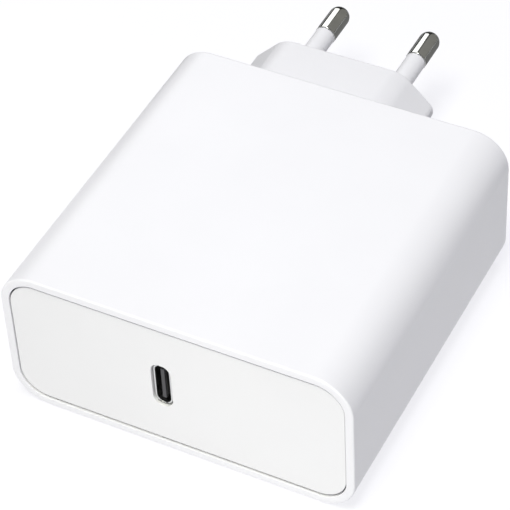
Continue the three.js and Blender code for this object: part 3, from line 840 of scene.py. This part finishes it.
CAN_SKIN = 0.12 * MM  # the room that the shrunk sleeve takes up
CAN_INSET = 0.3 * MM  # how far a can's ends lie inside its sleeve's
CAN_ROUND = 0.6 * MM
SLEEVE_CURL = 0.8 * MM
GROOVE_WIDTH = 0.8 * MM
GROOVE_PLACE = 2.1 * MM
SCORE_WIDTH = 0.24 * MM
SCORE_DEPTH = 0.15 * MM
BULK_LENGTH = 20 * MM
BULK_LEAD_SPREAD = 3.75 * MM
BULK_LEAD_DROP = 1.6 * MM
BEND_RADIUS = 0.7 * MM
FUSE_CAP_LENGTH = 2.8 * MM
FUSE_CAP_END = 0.8 * MM
FUSE_TUBE_DEEP = 1 * MM  # the tube's end, measured from the cap's rim


def score_top(can, axis, centre, top, radius):
    """Scores a cross into a can's top, where it opens if it fails."""
    for along in {ACROSS, FORWARD, UP} - {axis}:
        half = Vector((SCORE_WIDTH / 2, SCORE_WIDTH / 2, SCORE_WIDTH / 2))
        half[along] = radius * 0.55
        half[axis] = SCORE_DEPTH
        middle = Vector(centre)
        middle[axis] = top
        cut(can, block("score", middle - half, middle + half))


def make_sleeved_can(node, axis, radius, start, end, centre, top_side, materials):
    """An electrolytic can in a shrunk sleeve that curls over both its ends."""
    can_start, can_end = start + CAN_INSET, end - CAN_INSET
    can = round_bar(f"{node}_can", axis, radius - CAN_SKIN, can_start, can_end, centre, CAN_SIDES)
    bevel(can, is_ring_edge, CAN_ROUND, 5)
    score_top(can, axis, centre, can_end if top_side > 0 else can_start, radius)
    sleeve = round_bar(f"{node}_sleeve", axis, radius, start, end, centre, CAN_SIDES)
    bevel(sleeve, is_ring_edge, SLEEVE_CURL, 5)
    remove_faces(sleeve, either_end(axis))
    thicken(sleeve, CAN_SKIN * 0.8)
    keep(smooth(sleeve), materials["can_sleeve"], "can_sleeve")
    return can


def make_bulk_capacitor(materials):
    """The main can lies down, with its two leads bent down to the board."""
    node = "bulk_capacitor"
    low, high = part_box(node)
    radius = (high.x - low.x) / 2
    centre = Vector(((low.x + high.x) / 2, 0, high.z - radius))
    can = make_sleeved_can(node, FORWARD, radius, low.y, low.y + BULK_LENGTH, centre, -1, materials)
    bend_start = high.y - LEAD / 2 - BEND_RADIUS
    lead_z = centre.z - BULK_LEAD_DROP
    for side in (-1, 1):
        x = centre.x + side * BULK_LEAD_SPREAD
        place = (x, 0, lead_z)
        lead = round_bar("lead", FORWARD, LEAD / 2, bend_start - 2 * MM, bend_start, place, LEAD_SIDES)
        bend(lead, faces_along(FORWARD, 1), (x, bend_start, lead_z - BEND_RADIUS))
        step(lead, faces_along(UP, -1), [(0, low.z - lead_z + BEND_RADIUS)], along=(0, 0, 1))
        join(can, lead)
    keep(smooth(can), materials["can_aluminium"], "can_aluminium", node)


def make_auxiliary_capacitor(materials):
    """The small sleeved can stands on the board."""
    node = "auxiliary_capacitor"
    low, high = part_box(node)
    centre = (low + high) / 2
    can = make_sleeved_can(node, UP, (high.x - low.x) / 2, low.z, high.z, centre, 1, materials)
    keep(smooth(can), materials["can_aluminium"], "can_aluminium", node)


def make_output_capacitor(node, materials):
    """A bare can stands on the board, with a groove rolled round it over its seal."""
    low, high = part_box(node)
    centre = (low + high) / 2
    radius = (high.x - low.x) / 2
    can = round_bar(f"{node}_body", UP, radius, low.z, high.z, centre, CAN_SIDES)
    bevel(can, is_ring_edge, CAN_ROUND, 5)
    groove_place = (centre.x, centre.y, low.z + GROOVE_PLACE)
    # fewer sides than the can, so that no edge of one lies on an edge of the other
    cut(can, wire_loop("groove", radius, GROOVE_WIDTH, groove_place, CAN_SIDES - 5))
    score_top(can, UP, centre, high.z, radius)
    keep(smooth(can), materials["can_aluminium"], "can_aluminium", node)


def make_disc(node, slot, materials):
    """A dipped disc on two wire leads, its rim rounded by the resin."""
    low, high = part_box(node)
    radius = (high.x - low.x) / 2
    centre = Vector(((low.x + high.x) / 2, (low.y + high.y) / 2, high.z - radius))
    piece = round_bar(f"{node}_body", FORWARD, radius, low.y, high.y, centre, CAN_SIDES)
    bevel(piece, is_ring_edge, (high.y - low.y) * 0.42, 7)
    for side in (-1, 1):
        place = centre + Vector((side * radius / 2, 0, 0))
        join(piece, round_bar("lead", UP, LEAD / 2, low.z, centre.z, place, LEAD_SIDES))
    keep(smooth(piece), materials[slot], slot, node)


def make_fuse_cap(side, radius, tube_radius, low, high, centre):
    """A pressed cap, closed at the fuse's end, with a wire lead down to the board."""
    end = high.x if side > 0 else low.x
    rim = end - side * FUSE_CAP_LENGTH
    cap = round_bar("cap", ACROSS, radius, min(end, rim), max(end, rim), centre, CAN_SIDES)
    bevel(cap, both(lies_at(ACROSS, end), is_ring_edge), 0.35 * MM, 4)
    inside, outside = end - side * FUSE_CAP_END, rim - side * CLEAR_CUT
    pocket_low, pocket_high = min(inside, outside), max(inside, outside)
    pocket_radius = tube_radius + 0.02 * MM
    cut(cap, round_bar("pocket", ACROSS, pocket_radius, pocket_low, pocket_high, centre, CAN_SIDES))
    place = (end - side * FUSE_CAP_END / 2, centre.y, 0)
    join(cap, round_bar("lead", UP, LEAD / 2, low.z, centre.z - tube_radius / 2, place, LEAD_SIDES))
    return cap


def make_fuse(materials):
    """A ceramic tube fuse with a metal cap at each end."""
    low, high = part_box("fuse")
    radius = (high.y - low.y) / 2
    tube_radius = radius - 0.2 * MM
    centre = Vector(((low.x + high.x) / 2, (low.y + high.y) / 2, high.z - radius))
    inset = FUSE_CAP_LENGTH - FUSE_TUBE_DEEP
    tube_low, tube_high = low.x + inset, high.x - inset
    tube = round_bar("fuse_tube", ACROSS, tube_radius, tube_low, tube_high, centre, CAN_SIDES)
    keep(smooth(tube), materials["fuse_ceramic"], "fuse_ceramic", "fuse")
    caps = [make_fuse_cap(side, radius, tube_radius, low, high, centre) for side in (-1, 1)]
    keep(smooth(gather("fuse_caps", caps)), materials["port_steel"], "port_steel")


def make_moulded_box(node, slot, materials):
    """A moulded box part, its edges rounded, on two wire leads."""
    low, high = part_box(node)
    lift, lead_inset = 0.6 * MM, 1.2 * MM
    piece = block(f"{node}_body", (low.x, low.y, low.z + lift), high)
    bevel(piece, every_edge, 0.35 * MM, 4)
    for y in (low.y + lead_inset, high.y - lead_inset):
        place = ((low.x + high.x) / 2, y, 0)
        join(piece, round_bar("lead", UP, LEAD / 2, low.z, low.z + 2 * lift, place, LEAD_SIDES))
    keep(smooth(piece), materials[slot], slot, node)


def make_inner_parts(materials):
    """The wound, canned, dipped and moulded parts that are rounder than their solids."""
    make_choke_core(materials)
    make_drum_core("filter_inductor_core", materials)
    make_drum_core("output_choke_core", materials)
    make_choke_winding(-1, materials)
    make_choke_winding(1, materials)
    make_drum_winding("filter_inductor_winding", materials)
    make_drum_winding("output_choke_winding", materials)
    make_bulk_capacitor(materials)
    make_auxiliary_capacitor(materials)
    make_output_capacitor("output_capacitor_left", materials)
    make_output_capacitor("output_capacitor_right", materials)
    make_disc("varistor", "disc_blue", materials)
    make_disc("thermistor", "disc_dark", materials)
    make_disc("y_capacitor", "disc_blue", materials)
    make_fuse(materials)
    make_moulded_box("x_capacitor", "film_yellow", materials)
    make_moulded_box("bridge_rectifier", "chip_black", materials)


def finish_solids(materials):
    """The solids that keep their shape take the finish of their slot."""
    for entry in frame["record"]["subparts"]:
        if entry["node"] not in replaced_nodes:
            solid = frame["nodes"][entry["node"]]
            solid.data.materials.clear()
            solid.data.materials.append(materials[entry["material_slot"]])


# ------------------------------------------------------------------ floor, light and camera

FLOOR_GLOW = 0.785
FLOOR_SIZE = 6
FLOOR_DROP = 0.2 * MM  # the floor lies just under the case, and the card just over the floor
CARD_SIZE = 0.5
CARD_LIFT = 0.4 * MM
CARD_BEHIND_PLUG = 0.26
WORLD_STRENGTH = 0.03

# name: place, width and height in metres, power in watts, colour, roll in degrees
LIGHTS = {
    "main_box": ((0, -0.5, 1.3), (0.55, 0.55), 16.4, "#fffff4", 0),
    "top_box": ((0.14, 0.1, 1.6), (0.6, 0.6), 11.4, "#ebebff", 0),
    "front_box": ((0, -0.9, 0.25), (0.9, 0.35), 2.0, "#ffffff", 0),
    "low_front_box": ((0.03, -0.13, 0.014), (0.04, 0.028), 0.012, "#ffffff", 0),
    "back_right_box": ((0.6, 1.0, 0.65), (1.4, 1.3), 1.6, "#fffdf7", 0),
    "back_left_strip": ((-0.41, 0.57, 0.486), (0.65, 0.22), 0.95, "#ffffff", -54),
}

MIRRORED_ONLY = ("back_right_box", "back_left_strip")  # seen in reflections alone, as in the pins


def make_floor():
    """A plain white table, lit from below and wide enough to fill the view."""
    deselect()
    bpy.ops.mesh.primitive_plane_add(size=FLOOR_SIZE, location=(0, 0, -FLOOR_DROP))
    floor = bpy.context.object
    floor.name = "floor"
    material, shader, coordinates = new_material("lit_white_acrylic_table", 0.9)
    colour_between(material, shader, noise(material, coordinates, 0.4), "#7d7d7d", "#808080")
    shader.inputs["Emission Color"].default_value = linear("#fbfbff")
    shader.inputs["Emission Strength"].default_value = FLOOR_GLOW
    shader.inputs["Specular IOR Level"].default_value = 0
    floor.data.materials.append(material)


def make_grey_card():
    """A grey card on the table behind the plug, hidden from view, that darkens what the pins mirror."""
    deselect()
    place = (0, PLUG_HIGH.y + CARD_BEHIND_PLUG, CARD_LIFT)
    bpy.ops.mesh.primitive_plane_add(size=CARD_SIZE, location=place)
    card = bpy.context.object
    card.name = "grey_card"
    material, shader, coordinates = new_material("matt_grey_card", 0.9)
    colour_between(material, shader, noise(material, coordinates, 0.05), "#767676", "#7c7c7c")
    card.data.materials.append(material)
    card.visible_camera = False
    card.visible_diffuse = False
    card.visible_shadow = False


def add_light_box(name, place, size, power, colour, roll=0):
    """A soft box: an evenly lit rectangle that faces the object, rolled by an angle in degrees."""
    data = bpy.data.lights.new(name, "AREA")
    data.shape = "RECTANGLE"
    data.size, data.size_y = size
    data.energy = power
    data.color = linear(colour)[:3]
    light = bpy.data.objects.new(name, data)
    light.location = place
    facing = (Vector((0, 0, MIDDLE)) - Vector(place)).to_track_quat("-Z", "Y")
    light.rotation_euler = (facing @ Quaternion((0, 0, 1), math.radians(roll))).to_euler()
    light.visible_diffuse = name not in MIRRORED_ONLY
    bpy.context.scene.collection.objects.link(light)


def make_light():
    """Soft studio light in a pale room."""
    world = bpy.data.worlds.new("pale_room")
    world.use_nodes = True
    world.node_tree.nodes["Background"].inputs["Color"].default_value = linear("#ffffff")
    world.node_tree.nodes["Background"].inputs["Strength"].default_value = WORLD_STRENGTH
    bpy.context.scene.world = world
    for name, settings in LIGHTS.items():
        add_light_box(name, *settings)


def make_camera():
    """A long lens above and to the right of the port, rolled a few degrees."""
    data = bpy.data.cameras.new("camera")
    data.sensor_width = 36
    data.lens = 167.85
    data.clip_end = 10
    camera = bpy.data.objects.new("camera", data)
    camera.location = (0.13624, -0.26599, 0.29451)
    camera.rotation_euler = [math.radians(angle) for angle in (45.542, 2.351, 26.714)]
    bpy.context.scene.collection.objects.link(camera)
    bpy.context.scene.camera = camera


# ------------------------------------------------------------------ making it all

bpy.context.scene.view_settings.view_transform = "Standard"
make_camera()
make_floor()
make_grey_card()
make_light()

finishes = make_materials()
make_case(finishes)
make_panel(finishes)
make_plug(finishes)
for line in ("live", "neutral"):
    make_pin(line, finishes)
    make_sleeve(line, finishes)
make_port_shell(finishes)
make_port_insulator(finishes)
make_contacts(-1, finishes)
make_contacts(1, finishes)

make_inner_parts(finishes)
finish_solids(finishes)
